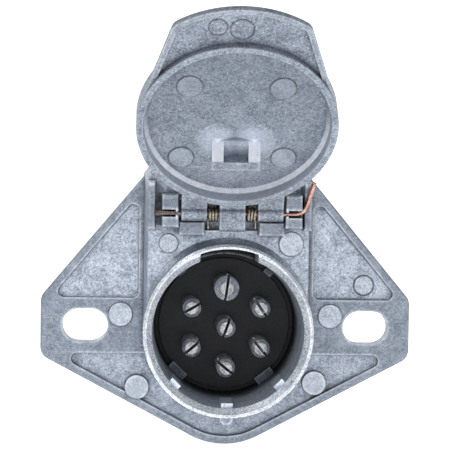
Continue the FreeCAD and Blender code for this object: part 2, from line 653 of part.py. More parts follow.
hinge_y = value(HINGE_Y)
hinge_z = value(HINGE_Z)
lean = math.radians(value("pin_lean"))
turn_x = value("pin_turn + hinge_shift + pin_bend")
pin_points = [
    V(-value("pin_end"), hinge_y, hinge_z),
    V(turn_x, hinge_y, hinge_z),
    V(turn_x + math.sin(lean) * value("pin_tail"), hinge_y, hinge_z + math.cos(lean) * value("pin_tail")),
]
hinge_pin = doc.addObject("Part::Feature", "hinge_pin")
hinge_pin.Shape = swept(bent_path(pin_points, value("pin_bend")), value("pin_rad"))
hinge_pin.Label = "hinge_pin"

# One half of the spring is a single wire: a leg against the well's back wall, a coil about the hinge pin,
# and half of the bridge across the lid's outer face. The other half is its mirror image.
wire = value("wire_dia / 2")
coil_rad = value("coil_rad")
middle_x = value("hinge_shift")
outer_x = middle_x - value("knuckle_in - wire_dia / 2 - coil_gap")
inner_x = middle_x - value("tail_half + wire_dia / 2 + coil_gap")
coil_pitch = (inner_x - outer_x) / value("coil_turns + (180 - lid_open) / 360")
coil = Part.makeHelix(coil_pitch, inner_x - outer_x, coil_rad)
coil.Placement = FreeCAD.Placement(
    V(outer_x, hinge_y, hinge_z), FreeCAD.Rotation(V(0, 1, 0), V(0, 0, 1), V(1, 0, 0), "ZXY"))

slope = V(coil_pitch / (2 * math.pi * coil_rad), 0, 0)
coil_start = V(outer_x, hinge_y + coil_rad, hinge_z)
leg_way = slope + V(0, 0, 1)
leg_foot = coil_start - leg_way * value("well_low - wire_dia / 2 - leg_gap")

opened = math.radians(value("lid_open"))
along = V(0, -math.sin(opened), -math.cos(opened))
outward = V(0, -math.cos(opened), math.sin(opened))
axis_point = V(inner_x, hinge_y, hinge_z)
skin_off = value(f"{HINGE_Y} - {SKIN} + wire_dia / 2 + leg_gap")
coil_end = axis_point + outward * coil_rad
lead = coil_end + (slope + along) * value("spring_bend")
over_skin = V(lead.x, hinge_y, hinge_z) + outward * skin_off
bridge_corner = over_skin + along * value("bridge_reach")
bridge_points = [
    coil_end, lead, over_skin + along * value("bridge_rise"), bridge_corner,
    V(middle_x, bridge_corner.y, bridge_corner.z),
]
half_path = [Part.LineSegment(leg_foot, coil_start).toShape()] + coil.Edges
half_path += bent_path(bridge_points, value("spring_bend"))
spring_half = swept(half_path, wire)
spring = doc.addObject("Part::Feature", "lid_spring")
spring.Shape = spring_half.fuse(spring_half.mirror(V(middle_x, 0, 0), V(1, 0, 0))).removeSplitter()
spring.Label = "lid_spring"

# ---------------------------------------------------------------- insulator and its ring

insert_body = new_body("insert_blank")
insert_half = new_sketch(insert_body, "insert_half", "YZ_Plane")
polygon(insert_half, [
    (SEAT, "0"), (SEAT, "insert_face"), (f"{SEAT} + insert_step", "insert_face"),
    (f"{SEAT} + insert_step", "seat_rad - insert_play"), (INSERT_BACK, "seat_rad - insert_play"),
    (INSERT_BACK, "0"),
])
turned(insert_body, "PartDesign::Revolution", "insert_turned", insert_half, "H_Axis")

ring = doc.addObject("Part::Feature", "retaining_ring")
ring_y = value(f"{INSERT_BACK} + 2 * ring_play")
ring_outer = value("seat_rad + ring_groove - ring_play")
ring_inner = ring_outer - value("ring_band")
thick = value("ring_thick")
through = V(0, 1, 0)
ring_gap = value("ring_gap")
ring_shape = Part.makeCylinder(ring_outer, thick, V(0, ring_y, 0), through)
ring_shape = ring_shape.cut(Part.makeCylinder(ring_inner, thick, V(0, ring_y, 0), through))
gap_box = Part.makeBox(ring_gap, thick, 2 * ring_outer, V(-ring_gap / 2, ring_y, -2 * ring_outer))
ring_shape = ring_shape.cut(gap_box)
for sign in (-1, 1):
    ear = V(sign * value("ring_gap / 2 + ear_set"), ring_y, value("ear_rise") - ring_inner)
    ring_shape = ring_shape.fuse(Part.makeCylinder(value("ear_rad"), thick, ear, through))
    ring_shape = ring_shape.cut(Part.makeCylinder(value("ear_hole"), thick, ear, through))
ring.Shape = ring_shape.removeSplitter()
ring.Label = "retaining_ring"

# ---------------------------------------------------------------- contacts, screws and their holes

contact_holes = []
contact_nodes = []
for label, angle, split_angle in CONTACTS:
    big = label == "pin_ground_white"
    radius = "ground_rad" if big else "contact_rad"
    nose = "ground_nose" if big else "contact_nose"
    at_x = "0" if angle is None else f"contact_circle * cos({angle})"
    at_z = "0" if angle is None else f"contact_circle * sin({angle})"
    out = "centre_out" if angle is None else "terminal_out"
    tip = f"({RIM} + contact_deep)"
    body = new_body(label + "_turned")
    half = new_sketch(body, label + "_half", "YZ_Plane")
    polygon(half, [
        (tip, "0"), (tip, f"{radius} - {nose}"), (f"{tip} + nose_long", radius),
        (f"{INSERT_BACK} - terminal_set", radius), (f"{INSERT_BACK} - terminal_set", "terminal_rad"),
        (f"{INSERT_BACK} + {out}", "terminal_rad"), (f"{INSERT_BACK} + {out}", "0"),
    ])
    turned(body, "PartDesign::Revolution", label + "_lathe", half, "H_Axis")
    slit = doc.addObject("Part::Box", label + "_slit")
    reach = f"({radius} + overshoot)"
    bind(slit, "Length", f"2 * {reach}")
    bind(slit, "Width", "split_long + overshoot")
    bind(slit, "Height", "split")
    tilt = FreeCAD.Rotation(V(0, -1, 0), split_angle)
    slit.Placement = FreeCAD.Placement(V(0, 0, 0), tilt)
    bind(slit, "Placement.Base.x", f"-{reach} * cos({split_angle}) + split / 2 * sin({split_angle})")
    bind(slit, "Placement.Base.y", f"{tip} - overshoot")
    bind(slit, "Placement.Base.z", f"-{reach} * sin({split_angle}) - split / 2 * cos({split_angle})")
    wire_hole = rod(label + "_wire_hole", "y", "wire_rad", "wire_deep + overshoot",
                    ("0", f"{INSERT_BACK} + {out} - wire_deep", "0"))
    # The set screw comes in square to the barrel, from the outside of the ring of contacts.
    screw_hole = doc.addObject("Part::Cylinder", label + "_screw_hole")
    bind(screw_hole, "Radius", "screw_rad + thread_play")
    bind(screw_hole, "Height", "terminal_rad + overshoot")
    screw_angle = 90.0 if angle is None else angle
    aim = V(math.cos(math.radians(screw_angle)), 0, math.sin(math.radians(screw_angle)))
    screw_hole.Placement = FreeCAD.Placement(V(0, 0, 0), FreeCAD.Rotation(V(0, 0, 1), aim))
    bind(screw_hole, "Placement.Base.y", f"{INSERT_BACK} + {out} - screw_back")
    contact = cut(label, body, [slit, wire_hole, screw_hole])
    contact.Label = label
    bind(contact, "Placement.Base.x", at_x)
    bind(contact, "Placement.Base.z", at_z)
    contact_nodes.append(contact)
    contact_holes.append(rod(label + "_seat", "y", radius, "insert_long + 2 * overshoot",
                             (at_x, f"{SEAT} - overshoot", at_z)))
    contact_holes.append(rod(label + "_shoulder", "y", "terminal_rad", "terminal_set + overshoot",
                             (at_x, f"{INSERT_BACK} - terminal_set", at_z)))
    # Set screw with a driver slot in its outer end.
    screw = doc.addObject("Part::Feature", label.replace("pin_", "set_screw_"))
    centre = V(value(at_x), value(f"{INSERT_BACK} + {out} - screw_back"), value(at_z))
    inner_end = centre + aim * value("terminal_rad - screw_long + screw_proud")
    shape = Part.makeCylinder(value("screw_rad"), value("screw_long"), inner_end, aim)
    slot_half = value("screw_rad + overshoot")
    slot_box = Part.makeBox(2 * slot_half, value("screw_slot"), value("screw_slot_deep + overshoot"),
                            V(-slot_half, -value("screw_slot / 2"), value("screw_long - screw_slot_deep")))
    aimed = FreeCAD.Placement(inner_end, FreeCAD.Rotation(V(0, 0, 1), aim))
    slot_box.Placement = aimed.multiply(slot_box.Placement)
    screw.Shape = shape.cut(slot_box)
    screw.Label = label.replace("pin_", "set_screw_")
    contact_nodes.append(screw)

insert = cut("insert", insert_body, contact_holes)
insert.Label = "insert"

# ---------------------------------------------------------------- check and write

doc.recompute()
for thing in doc.Objects:
    if "Invalid" in thing.State or "Error" in thing.State:
        raise RuntimeError(f"{thing.Name} failed: {thing.State}")
pieces = [housing, lid, hinge_pin, spring, insert, ring] + contact_nodes
for piece in pieces:
    if piece.Shape.isNull() or not piece.Shape.isValid():
        raise RuntimeError(piece.Label + " has no valid shape")
os.makedirs("parts", exist_ok=True)
for piece in pieces:
    piece.Shape.exportStep(f"parts/{piece.Label}.step")
    print(piece.Label, len(piece.Shape.Solids), round(piece.Shape.Volume, 1))
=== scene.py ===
# %% [markdown]
# # A seven-way trailer socket, dressed
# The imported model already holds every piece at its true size: the die-cast housing and lid, the
# hinge pin, the black insulator, its ring, seven contacts and seven set screws. This lesson keeps
# those pieces where they are, gives each one its finish, winds a real coil for the lid's spring,
# adds the small marks that casting leaves, and sets up a plain studio.

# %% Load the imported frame
import json
import math
import bpy
import numpy as np
from mathutils import Matrix, Vector


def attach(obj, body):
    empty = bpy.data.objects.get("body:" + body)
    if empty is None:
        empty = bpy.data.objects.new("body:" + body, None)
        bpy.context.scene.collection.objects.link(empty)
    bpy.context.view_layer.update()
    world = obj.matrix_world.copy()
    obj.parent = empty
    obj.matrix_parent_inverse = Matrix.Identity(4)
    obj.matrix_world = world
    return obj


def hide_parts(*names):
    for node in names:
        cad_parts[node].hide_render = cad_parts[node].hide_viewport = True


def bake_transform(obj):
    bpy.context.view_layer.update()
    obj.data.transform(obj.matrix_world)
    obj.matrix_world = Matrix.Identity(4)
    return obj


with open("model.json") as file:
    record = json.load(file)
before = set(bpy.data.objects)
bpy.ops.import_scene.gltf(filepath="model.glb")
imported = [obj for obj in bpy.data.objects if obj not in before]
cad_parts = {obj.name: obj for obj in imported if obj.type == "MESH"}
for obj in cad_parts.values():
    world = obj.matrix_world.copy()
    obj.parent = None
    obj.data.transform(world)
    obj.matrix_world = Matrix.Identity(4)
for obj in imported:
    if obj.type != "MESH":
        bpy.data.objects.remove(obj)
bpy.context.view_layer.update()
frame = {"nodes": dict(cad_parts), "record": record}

MM = 0.001
nodes = frame["nodes"]

# %% [markdown]
# ## The lid's hinge as a measuring stick
# Everything on the lid is easiest to place with the lid shut, where its underside is a plain
# plane. The stored lid is that same lid turned back about the hinge pin, so one small function
# carries points from the shut lid to the stored one.

# %% Places shared by several pieces
HINGE = np.array([0.0, -22.8, 30.0])
LID_OPEN = math.radians(141.0)
LID_MIDDLE = np.array([0.5, 0.0, 0.7])
LID_FLOOR = -23.4
PANEL_FACE = -3.8


def stored(points):
    """Points of the shut lid, turned back about the hinge: y and z rotate by minus the open angle."""
    c, s = math.cos(-LID_OPEN), math.sin(-LID_OPEN)
    d = points - HINGE
    turned = np.stack([d[..., 0], c * d[..., 1] - s * d[..., 2], s * d[..., 1] + c * d[..., 2]], -1)
    return turned + HINGE


print("lid floor's middle when stored, in mm:", stored(np.array([0.5, LID_FLOOR, 0.7])).round(1))

# %% [markdown]
# ## From a grid of points to a mesh
# Each new piece is a surface worked out on a grid: one direction runs along the piece and the
# other goes round it. A helper turns the whole grid into faces at once, closing the ring round
# the piece and capping both ends, so that the mesh is watertight.

# %% Grid to mesh


def mesh_from_rings(name, rings, loop=False):
    """A closed skin through rings of points: rings[i, j] joins rings[i, j + 1] and rings[i + 1, j].

    With loop the last ring joins the first; otherwise each end is closed by one flat face.
    """
    count, around = rings.shape[:2]
    i = np.arange(count if loop else count - 1)[:, None]
    j = np.arange(around)[None, :]
    following = (i + 1) % count
    beside = (j + 1) % around
    quads = np.stack([i * around + j, i * around + beside, following * around + beside,
                      following * around + j], -1).reshape(-1, 4).tolist()
    if not loop:
        quads.append(np.arange(around)[::-1].tolist())
        quads.append((np.arange(around) + (count - 1) * around).tolist())
    mesh = bpy.data.meshes.new(name)
    mesh.from_pydata((rings.reshape(-1, 3) * MM).tolist(), [], quads)
    mesh.update()
    mesh.shade_smooth()
    piece = bpy.data.objects.new(name, mesh)
    bpy.context.scene.collection.objects.link(piece)
    return piece


def tube(name, path, radius, around=18, loop=False):
    """A round wire: each ring is path + radius * (cos a * side + sin a * up), square to the path.

    The side vector is carried from station to station by removing its part along the new tangent.
    """
    ahead = np.roll(path, -1, 0) - np.roll(path, 1, 0) if loop else np.gradient(path, axis=0)
    tangent = ahead / np.linalg.norm(ahead, axis=1, keepdims=True)
    side = np.cross(tangent[0], [0.3, 0.2, 0.93])
    sides = []
    for step in tangent:
        side = side - step * (side @ step)
        side = side / np.linalg.norm(side)
        sides.append(side)
    sides = np.array(sides)
    ups = np.cross(tangent, sides)
    a = np.linspace(0, 2 * np.pi, around, endpoint=False)[None, :, None]
    rings = path[:, None] + radius * (np.cos(a) * sides[:, None] + np.sin(a) * ups[:, None])
    return mesh_from_rings(name, rings, loop)


print("grid helper ready")

# %% [markdown]
# ## The lid's spring
# A double torsion spring snaps the lid shut: two coils sit on the hinge pin between the lid's
# knuckles, their outer legs press on the housing and a bridge joins them across the lid's outer
# face. Each half is wound as one wire, and bends between the housing and the lid along the
# hinge, so that the coils tighten as the lid turns.

# %% Spring path
WIRE = 0.35
COIL = 1.9
COIL_OUTER = 5.95
COIL_INNER = 3.65
LID_FACE = 3.1
LEG_FOOT = -4.0
BRIDGE_OUT = 7.6
CORNER = 1.2


def spring_half(side):
    """Leg, coil and half a bridge. On the coil, x runs evenly while the angle turns three times and
    39 degrees: y = COIL cos a, z = COIL sin a, from the housing's wall round to the lid's face."""
    last = 6 * np.pi + np.pi - LID_OPEN
    a = np.linspace(0, last, 200)
    share = a / last
    x = COIL_OUTER + (COIL_INNER - COIL_OUTER) * share
    coil = np.stack([x, COIL * np.cos(a), COIL * np.sin(a)], -1)
    leg = np.stack([np.full(12, COIL_OUTER), np.full(12, COIL), np.linspace(LEG_FOOT, -0.2, 12)], -1)
    along = np.array([0, -math.sin(LID_OPEN), -math.cos(LID_OPEN)])
    out = np.array([0, -math.cos(LID_OPEN), math.sin(LID_OPEN)])
    t = np.linspace(0.05, 1, 30)[:, None]
    ease = t * t * (3 - 2 * t)
    lift = COIL + (LID_FACE + WIRE + 0.1 - COIL) * ease
    rise = np.array([COIL_INNER, 0, 0]) + out * lift + along * BRIDGE_OUT * t
    bend = np.linspace(0, np.pi / 2, 14)[1:, None]
    corner = rise[-1] + along * CORNER * np.sin(bend) - np.array([CORNER, 0, 0]) * (1 - np.cos(bend))
    span = np.linspace(corner[-1, 0], 0, 12)[1:]
    bridge = np.stack([span, np.full(11, corner[-1, 1]), np.full(11, corner[-1, 2])], -1)
    path = np.concatenate([leg, coil, rise, corner, bridge])
    path[:, 0] *= side
    return path + HINGE + np.array([LID_MIDDLE[0], 0, 0])


# %% Wind both halves
springs = []
for side, label in ((-1, "left"), (1, "right")):
    half = tube("spring_" + label, spring_half(side), WIRE)
    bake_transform(half)
    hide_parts("lid_spring")
    springs.append(half)
print("spring faces:", sum(len(s.data.polygons) for s in springs))

# %% [markdown]
# ## The hinge pin as a drawn wire
# The pin is one wire. Fine rings are rolled into its left end, and its right end is drawn thinner
# and bent up, so that the pin can't slide out.

# %% Hinge wire
PIN_LEFT = -18.7
ROLLED_TO = -13.3
BEND_FROM = 16.1
BEND = 3.2
LEAN = math.radians(18.0)
TAIL = 6.2
PIN_RADIUS = 0.8
TAIL_RADIUS = 0.55
RING_PITCH = 0.6
RING_DEEP = 0.06


def hinge_wire():
    """A run along x, an arc of radius BEND up to a lean of 18 degrees, and a straight tail.

    The radius falls from 0.8 to 0.55 past the right lug, and the rings at the left end cut in by
    0.06 (1 - cos(2 pi x / 0.6))."""
    x = np.concatenate([np.linspace(PIN_LEFT, ROLLED_TO, 90), np.linspace(-13.0, BEND_FROM, 60)])
    run = np.stack([x, 0 * x, 0 * x], -1)
    b = np.linspace(0, np.pi / 2 - LEAN, 16)[1:]
    arc = np.stack([BEND_FROM + BEND * np.sin(b), 0 * b, BEND * (1 - np.cos(b))], -1)
    t = np.linspace(0, TAIL, 12)[1:, None]
    tail = arc[-1] + t * np.array([math.sin(LEAN), 0, math.cos(LEAN)])
    path = np.concatenate([run, arc, tail])
    radius = np.interp(path[:, 0], [12.5, 14.0], [PIN_RADIUS, TAIL_RADIUS])
    cut = RING_DEEP * np.cos(2 * np.pi * path[:, 0] / RING_PITCH) - RING_DEEP
    rings = np.where(path[:, 0] < ROLLED_TO, cut, 0.0)
    return path + HINGE, (radius + rings)[:, None, None]


path, radius = hinge_wire()
pin = tube("hinge_wire", path, radius)
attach(pin, "housing")
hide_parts("hinge_pin")
print("hinge wire stations:", len(path))

# %% [markdown]
# ## Marks that the die leaves
# Die-cast pieces carry small raised rings where ejector sleeves and mould plugs met the metal.
# They are thin tori that stand a little proud of the surface, plain and without lettering.

# %% Cast rings


def cast_ring(name, middle, across, other, radius, thick):
    """A torus: a thin tube carried round a circle of the given radius in the plane of two vectors."""
    a = np.linspace(0, 2 * np.pi, 64, endpoint=False)[:, None]
    path = middle + radius * (np.cos(a) * across + np.sin(a) * other)
    return tube(name, path, thick, around=10, loop=True)


X = np.array([1.0, 0, 0])
Z = np.array([0, 0, 1.0])
TAB_FLOOR = -21.4
LID_MARKS = {"lid_mark_right": (0.5, -27.3, 2.75), "lid_mark_left": (-5.1, -27.8, 2.2)}
rings = []
for name, (x, z, radius) in LID_MARKS.items():
    middle = stored(np.array([x, TAB_FLOOR, z]))
    way = stored(np.array([x, TAB_FLOOR, z]) + Z) - middle
    ring = cast_ring(name, middle, X, way, radius, 0.16)
    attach(ring, "lid")
    rings.append(ring)
panel_mark = cast_ring("flange_mark", np.array([36.0, PANEL_FACE, 11.0]), X, Z, 2.6, 0.2)
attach(panel_mark, "housing")
print("cast rings:", len(rings) + 1)

# %% [markdown]
# ## The swelling round the catch
# Inside the lid a small catch holds the plug in. The metal swells up to it in two low humps,
# which a cast part needs so that the catch doesn't snap off. It is one height field that falls
# away from each rib's foot and meets the floor without an edge.

# %% Catch swelling
RIB_OFF = 4.45
RIB_LOW = 6.4
RIB_HIGH = 11.6
SWELL_HIGH = 1.3
SWELL_REACH = 5.0
SWELL_MIDDLE = 7.9


def catch_swelling():
    """Height over an oval of the lid's floor: from each rib's foot line it falls from 1.3 as the
    square of 1 - d / 5, where d is the distance to the line. Its underside is sunk in the lid."""
    r = np.linspace(1, 0, 48)[:, None]
    a = np.linspace(0, 2 * np.pi, 120, endpoint=False)[None, :]
    u = 10.2 * r * np.cos(a)
    z = SWELL_MIDDLE + 7.0 * r * np.sin(a)
    beyond = np.maximum(np.maximum(RIB_LOW - z, z - RIB_HIGH), 0)
    near = np.minimum(np.hypot(u - RIB_OFF, beyond), np.hypot(u + RIB_OFF, beyond))
    h = SWELL_HIGH * np.clip(1 - near / SWELL_REACH, 0, 1) ** 2
    top = np.stack([LID_MIDDLE[0] + u, LID_FLOOR - 0.015 + h, z], -1)
    under = top[:1].copy()
    under[..., 1] = LID_FLOOR - 2.2
    return np.concatenate([under, top[:-1]])


swelling = mesh_from_rings("catch_swelling", stored(catch_swelling()))
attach(swelling, "lid")
print("swelling size in mm:", [round(v / MM, 1) for v in swelling.dimensions])

# %% [markdown]
# ## A short way to write shaders
# A finish is a small graph of nodes. A few helpers keep the graphs readable: one adds a node and
# plugs in its values, others do arithmetic, a smooth step and a blend of colours, and the last two
# make an empty node group with named inputs and outputs and put a copy of it in a material.

# %% Node helpers


def plug(tree, socket, source):
    """Feeds an input from another socket, or gives it a plain value."""
    if isinstance(source, bpy.types.NodeSocket):
        tree.links.new(source, socket)
    else:
        socket.default_value = source


def add(tree, kind, plugs=None, **settings):
    """A node of a kind, with its settings, and its inputs fed by values or by other sockets."""
    node = tree.nodes.new("ShaderNode" + kind)
    for key, setting in settings.items():
        setattr(node, key, setting)
    for key, source in (plugs or {}).items():
        plug(tree, node.inputs[key], source)
    return node


def sums(tree, operation, a, b=0.0, c=0.0, clamp=False):
    """One step of arithmetic on sockets or numbers."""
    return add(tree, "Math", {0: a, 1: b, 2: c}, operation=operation, use_clamp=clamp).outputs[0]


def ramp(tree, source, low, high, bottom=0.0, top=1.0):
    """A smooth step from bottom at low to top at high, where low may be the larger of the two."""
    node = add(tree, "MapRange", {"Value": source, "From Min": low, "From Max": high, "To Min": bottom,
                                  "To Max": top}, interpolation_type="SMOOTHSTEP")
    return node.outputs[0]


def blend_colour(tree, amount, a, b):
    """Colour a turned towards colour b by an amount."""
    node = tree.nodes.new("ShaderNodeMix")
    node.data_type = "RGBA"
    for index, source in ((0, amount), (6, a), (7, b)):
        plug(tree, node.inputs[index], source)
    return node.outputs[2]


def tinted(tree, colour, mask, share, towards):
    """A colour turned a share of the way towards another, where a mask is 1."""
    return blend_colour(tree, sums(tree, "MULTIPLY", mask, share), colour, towards)


def group(name, inputs, outputs):
    """An empty node group. Inputs are name: (type, start value); outputs are name: type."""
    tree = bpy.data.node_groups.new(name, "ShaderNodeTree")
    for label, (kind, start) in inputs.items():
        socket = tree.interface.new_socket(label, in_out="INPUT", socket_type="NodeSocket" + kind)
        if start is not None:
            socket.default_value = start
    for label, kind in outputs.items():
        tree.interface.new_socket(label, in_out="OUTPUT", socket_type="NodeSocket" + kind)
    entry = tree.nodes.new("NodeGroupInput")
    leave = tree.nodes.new("NodeGroupOutput")
    return tree, entry.outputs, leave.inputs


def use(tree, shared, plugs):
    """One copy of a shared group inside a material, with its own values."""
    node = tree.nodes.new("ShaderNodeGroup")
    node.node_tree = shared
    for key, source in plugs.items():
        plug(tree, node.inputs[key], source)
    return node.outputs


print("node helpers ready")

# %% [markdown]
# ## Shared effect: the skin of a casting
# Die-cast zinc is never one grey. It has broad cloudy patches where the metal chilled, a fine
# sparkle of grains, and scattered dark flecks. The group mixes noises of three sizes and gives
# back a tone, masks for the flecks and the sparkle, and a height for the bump.

# %% Group: cast skin
cast_skin, ins, outs = group(
    "cast_skin",
    {"Vector": ("Vector", None), "Grains": ("Float", 1500.0), "Clouds": ("Float", 160.0)},
    {"Tone": "Float", "Flecks": "Float", "Sparkle": "Float", "Height": "Float"})
clouds = add(cast_skin, "TexNoise", {"Vector": ins["Vector"], "Scale": ins["Clouds"], "Detail": 4.0,
                                     "Roughness": 0.6}).outputs["Fac"]
grains = add(cast_skin, "TexNoise", {"Vector": ins["Vector"], "Scale": ins["Grains"], "Detail": 3.0,
                                     "Roughness": 0.7}).outputs["Fac"]
blots = add(cast_skin, "TexNoise", {"Vector": ins["Vector"], "Scale": 950.0, "Detail": 3.0,
                                    "Roughness": 0.6, "Distortion": 0.8}).outputs["Fac"]
tone = sums(cast_skin, "MULTIPLY_ADD", clouds, 0.26, sums(cast_skin, "MULTIPLY_ADD", grains, 0.55,
            sums(cast_skin, "MULTIPLY", blots, 0.45)))
cast_skin.links.new(ramp(cast_skin, tone, 0.48, 0.80), outs["Tone"])
cast_skin.links.new(ramp(cast_skin, blots, 0.57, 0.68), outs["Flecks"])
cast_skin.links.new(ramp(cast_skin, grains, 0.60, 0.70), outs["Sparkle"])
height = sums(cast_skin, "MULTIPLY_ADD", grains, 0.6, sums(cast_skin, "MULTIPLY", blots, 0.6))
cast_skin.links.new(height, outs["Height"])
print("cast skin nodes:", len(cast_skin.nodes))

# %% [markdown]
# ## Shared effect: worn, highlighted edges and shaded corners
# Hands and plugs rub the edges of a socket bright, and the edges also get a painted highlight,
# while the corners get painted shade. A cheap way to find both is to ask how much of the surface
# nearby is hidden: looking outwards for corners, and looking inwards through the metal for edges.
# Noise breaks both up, so they aren't even lines. A third look, outwards but only a short way,
# gives a thin line of painted shade in a crease, and a bevel rounds the light at sharp edges.

# %% Group: wear and painted shade
wear_and_shade, ins, outs = group(
    "wear_and_shade",
    {"Vector": ("Vector", None), "Edge": ("Float", 0.0006), "Corner": ("Float", 0.003)},
    {"Wear And Highlight": "Float", "Corner Shade": "Float", "Crease Shade": "Float", "Soft Normal": "Vector"})
inward = add(wear_and_shade, "AmbientOcclusion", {"Distance": ins["Edge"]}, samples=6, inside=True,
             only_local=True).outputs["AO"]
outward = add(wear_and_shade, "AmbientOcclusion", {"Distance": ins["Corner"]}, samples=6).outputs["AO"]
patchy = add(wear_and_shade, "TexNoise", {"Vector": ins["Vector"], "Scale": 900.0,
                                      "Detail": 3.0}).outputs["Fac"]
edge = sums(wear_and_shade, "SUBTRACT", 1.0, inward)
broken = ramp(wear_and_shade, patchy, 0.3, 0.6, 0.45, 1.0)
wear_and_highlight = sums(wear_and_shade, "MULTIPLY", ramp(wear_and_shade, edge, 0.12, 0.55), broken)
corner = sums(wear_and_shade, "SUBTRACT", 1.0, outward)
patchy_shade = ramp(wear_and_shade, patchy, 0.2, 0.7, 0.6, 1.0)
painted_shade = sums(wear_and_shade, "MULTIPLY", ramp(wear_and_shade, corner, 0.12, 0.75), patchy_shade)
close = add(wear_and_shade, "AmbientOcclusion", {"Distance": 0.0006}, samples=6).outputs["AO"]
crease = sums(wear_and_shade, "SUBTRACT", 1.0, close)
wear_and_shade.links.new(ramp(wear_and_shade, crease, 0.12, 0.5), outs["Crease Shade"])
wear_and_shade.links.new(wear_and_highlight, outs["Wear And Highlight"])
wear_and_shade.links.new(painted_shade, outs["Corner Shade"])
soft = add(wear_and_shade, "Bevel", {"Radius": 0.00025}, samples=4)
wear_and_shade.links.new(soft.outputs["Normal"], outs["Soft Normal"])
print("wear and grime nodes:", len(wear_and_shade.nodes))

# %% [markdown]
# ## Shared effect: fine scratches
# Rubbed metal shows thin straight lines. A noise stretched hard along one direction and cut to
# its brightest slivers gives them, and each material can choose the direction and how many.

# %% Group: scratches
scratches, ins, outs = group(
    "scratches",
    {"Vector": ("Vector", None), "Stretch": ("Vector", (120.0, 2600.0, 2600.0)), "Amount": ("Float", 0.5)},
    {"Lines": "Float"})
stretched = add(scratches, "VectorMath", {0: ins["Vector"], 1: ins["Stretch"]},
                operation="MULTIPLY").outputs[0]
slivers = add(scratches, "TexNoise", {"Vector": stretched, "Scale": 1.0, "Detail": 2.0,
                                      "Roughness": 0.5}).outputs["Fac"]
cut_off = sums(scratches, "MULTIPLY_ADD", ins["Amount"], -0.2, 0.72)
line = sums(scratches, "SUBTRACT", slivers, cut_off)
scratches.links.new(ramp(scratches, line, 0.0, 0.06), outs["Lines"])
print("scratch nodes:", len(scratches.nodes))

# %% [markdown]
# ## Shared effect: the line round an ejector's pad
# A pad left by an ejector is only a few tenths high, but the step round it gets a dark line of
# painted shade, and the pad's own top is rubbed a little lighter. Both depend on the distance from
# the pad's middle, measured flat across x and z.

# %% Group: pad line
pad_line, ins, outs = group(
    "pad_line",
    {"Vector": ("Vector", None), "Middle": ("Vector", (0.0, 0.0, 0.0)), "Radius": ("Float", 0.003)},
    {"Line": "Float", "Top": "Float"})
flat = add(pad_line, "VectorMath", {0: ins["Vector"], 1: (1.0, 0.0, 1.0)}, operation="MULTIPLY").outputs[0]
away = add(pad_line, "VectorMath", {0: flat, 1: ins["Middle"]}, operation="DISTANCE").outputs["Value"]
past = sums(pad_line, "SUBTRACT", away, ins["Radius"])
# Line is the painted shade in the step; Top is the rubbed top.
pad_line.links.new(ramp(pad_line, sums(pad_line, "ABSOLUTE", past), 0.00026, 0.00008), outs["Line"])
pad_line.links.new(ramp(pad_line, past, 0.0, -0.0004), outs["Top"])
print("pad line nodes:", len(pad_line.nodes))

# %% [markdown]
# ## Every finish starts the same way
# A new material has a Principled shader, a place for its texture coordinates and an output.
# Object coordinates are used all through, because every piece keeps its place in its mesh.

# %% Start a material


def start(name, metallic, specular=0.5):
    """An empty finish: its tree, its shader and its Object coordinates."""
    material = bpy.data.materials.new(name)
    material.use_nodes = True
    tree = material.node_tree
    shader = tree.nodes["Principled BSDF"]
    shader.inputs["Metallic"].default_value = metallic
    shader.inputs["Specular IOR Level"].default_value = specular
    place = tree.nodes.new("ShaderNodeTexCoord").outputs["Object"]
    return material, tree, shader, place


def bumped(tree, shader, height, strength, distance, under=None):
    """Feeds the shader a bump made from a height, over another normal if there is one."""
    plugs = {"Height": height, "Strength": strength, "Distance": distance}
    if under is not None:
        plugs["Normal"] = under
    node = add(tree, "Bump", plugs)
    tree.links.new(node.outputs["Normal"], shader.inputs["Normal"])


def away_from_axis(tree, place):
    """Distance from the bore's axis, the root of x squared plus z squared, and the depth y."""
    parts = add(tree, "SeparateXYZ", {0: place}).outputs
    square = sums(tree, "MULTIPLY", parts["Z"], parts["Z"])
    square = sums(tree, "MULTIPLY_ADD", parts["X"], parts["X"], square)
    return sums(tree, "SQRT", square), parts


print("material helpers ready")

# %% [markdown]
# ## Where the pads and the dirt are
# Four small functions find places on the castings: a band between two limits, the lines round the
# pads and their tops, the inside of the bore with its keyway, and coordinates that run round the
# bore. The lid's own places are read with the lid turned shut.

# %% Places on the castings
HOUSING_PADS = [(-15.2, 22.0, 2.4), (16.0, 22.1, 3.1), (-27.3, 2.9, 3.1), (27.2, 2.9, 3.1),
                (-22.9, -16.0, 3.1), (23.3, -14.6, 3.1), (36.0, 11.0, 2.6)]
SHUT_LID_PADS = [(-11.1, -9.2, 3.1), (11.1, -9.0, 3.1), (-12.7, 12.4, 3.1), (12.3, 12.2, 3.1)]


def between(tree, source, low, high, soft):
    """1 where a value lies between two limits, with soft edges."""
    return sums(tree, "MULTIPLY", ramp(tree, source, low - soft, low), ramp(tree, source, high + soft, high))


def pad_marks(tree, place, pads, face):
    """The largest line and the largest top over all pads, kept to one face by a mask."""
    line, top = 0.0, 0.0
    for x, z, radius in pads:
        mark = use(tree, pad_line, {"Vector": place, "Middle": (x * MM, 0.0, z * MM), "Radius": radius * MM})
        line = sums(tree, "MAXIMUM", mark["Line"], line)
        top = sums(tree, "MAXIMUM", mark["Top"], top)
    return sums(tree, "MULTIPLY", line, face), sums(tree, "MULTIPLY", top, face)


